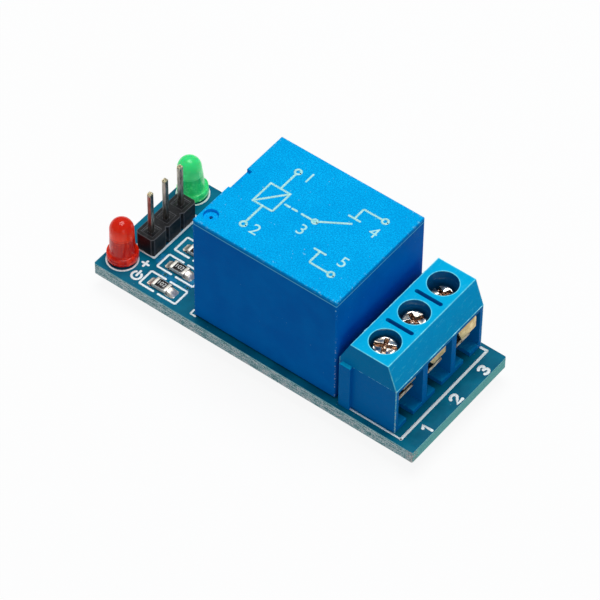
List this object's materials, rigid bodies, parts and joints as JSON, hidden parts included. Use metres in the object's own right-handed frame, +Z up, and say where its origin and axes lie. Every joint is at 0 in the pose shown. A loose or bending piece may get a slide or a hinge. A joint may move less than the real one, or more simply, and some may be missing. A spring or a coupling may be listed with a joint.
{
  "type": "relay module board",
  "caption": "Relay module board: sealed relay, screw terminal block, upright pin header and red and green indicator lamps on a narrow circuit board.",
  "frame": {"origin": "under the middle of the board, on the plane of the trimmed lead tips that the module stands on", "axes": "+X along the board from the pin header to the screw terminals, +Y across the board towards the green lamp, +Z up"},
  "size_m": [0.0432, 0.0168, 0.0187],
  "materials": {
    "laminate": "glossy blue-green solder mask over glass fibre",
    "relay_case": "finely grained blue moulding with satin sides",
    "black_plastic": "plain black moulding",
    "winding": "enamelled copper wire",
    "soft_iron": "zinc-plated soft iron",
    "spring_copper": "rolled copper alloy strip",
    "contact_silver": "silver alloy",
    "terminal_copper": "rolled copper alloy strip, tinned at the pin",
    "tinned_pin": "tinned wire",
    "block_plastic": "smooth blue moulding",
    "clamp_brass": "plated brass strip",
    "leaf_steel": "bright spring steel",
    "screw_nickel": "nickel plate",
    "header_plastic": "plain black moulding",
    "header_pin": "thin gold over nickel",
    "red_lens": "clear red resin",
    "green_lens": "clear green resin",
    "lamp_wire": "tinned steel",
    "chip_body": "black glaze on white ceramic",
    "chip_end": "tinned",
    "transistor_plastic": "black moulding resin",
    "diode_glass": "orange glass",
    "solder": "bright solder"
  },
  "bodies": {
    "module": {"board": "laminate", "relay_cover": "relay_case", "relay_base": "black_plastic", "relay_bobbin": "black_plastic", "relay_coil": "winding", "relay_core": "soft_iron", "relay_yoke": "soft_iron", "relay_open_terminal": "terminal_copper", "relay_open_contact": "contact_silver", "relay_closed_terminal": "terminal_copper", "relay_closed_contact": "contact_silver", "relay_common_terminal": "terminal_copper", "relay_coil_pin_1": "tinned_pin", "relay_coil_pin_2": "tinned_pin", "block_housing": "block_plastic", "block_clamp_1": "clamp_brass", "block_clamp_2": "clamp_brass", "block_clamp_3": "clamp_brass", "header_strip": "header_plastic", "header_pin_1": "header_pin", "header_pin_2": "header_pin", "header_pin_3": "header_pin", "red_lamp_lens": "red_lens", "red_lamp_anode": "lamp_wire", "red_lamp_cathode": "lamp_wire", "green_lamp_lens": "green_lens", "green_lamp_anode": "lamp_wire", "green_lamp_cathode": "lamp_wire", "resistor_1": "chip_body", "resistor_2": "chip_body", "resistor_3": "chip_body", "resistor_ends_1": "chip_end", "resistor_ends_2": "chip_end", "resistor_ends_3": "chip_end", "transistor_body": "transistor_plastic", "transistor_leads": "chip_end", "diode_body": "diode_glass", "diode_ends": "chip_end", "lead_solder": "solder", "pad_solder": "solder"},
    "armature": {"relay_armature": "soft_iron", "relay_blade": "spring_copper", "relay_moving_contact": "contact_silver"},
    "leaf_1": {"block_leaf_1": "leaf_steel"},
    "screw_1": {"block_screw_1": "screw_nickel"},
    "leaf_2": {"block_leaf_2": "leaf_steel"},
    "screw_2": {"block_screw_2": "screw_nickel"},
    "leaf_3": {"block_leaf_3": "leaf_steel"},
    "screw_3": {"block_screw_3": "screw_nickel"}
  },
  "joints": [
    {"name": "armature_hinge", "type": "hinge", "parent": "module", "child": "armature", "pos_m": [-0.0061, 0.0001, 0.0136], "axis": [0, 1, 0], "range_deg": [0, 3.2], "stiffness_Nm_per_rad": 0.05, "springref_deg": -3.44},
    {"name": "leaf_1_slide", "type": "slide", "parent": "module", "child": "leaf_1", "axis": [0, 0, 1], "range_m": [-0.0019, 0.0005]},
    {"name": "screw_1_turn", "type": "hinge", "parent": "leaf_1", "child": "screw_1", "pos_m": [0.015, -0.00475, 0.0119], "axis": [0, 0, 1], "range_deg": [-1521, 401]},
    {"name": "leaf_2_slide", "type": "slide", "parent": "module", "child": "leaf_2", "axis": [0, 0, 1], "range_m": [-0.0014, 0.001]},
    {"name": "screw_2_turn", "type": "hinge", "parent": "leaf_2", "child": "screw_2", "pos_m": [0.015, 0.00033, 0.0119], "axis": [0, 0, 1], "range_deg": [-1121, 801]},
    {"name": "leaf_3_slide", "type": "slide", "parent": "module", "child": "leaf_3", "axis": [0, 0, 1], "range_m": [-0.00085, 0.00155]},
    {"name": "screw_3_turn", "type": "hinge", "parent": "leaf_3", "child": "screw_3", "pos_m": [0.015, 0.00541, 0.0119], "axis": [0, 0, 1], "range_deg": [-681, 1241]}
  ],
  "couplings": [
    {"joint": "screw_1_turn", "follows": "leaf_1_slide", "rad_per_m": 13963},
    {"joint": "screw_2_turn", "follows": "leaf_2_slide", "rad_per_m": 13963},
    {"joint": "screw_3_turn", "follows": "leaf_3_slide", "rad_per_m": 13963}
  ]
}
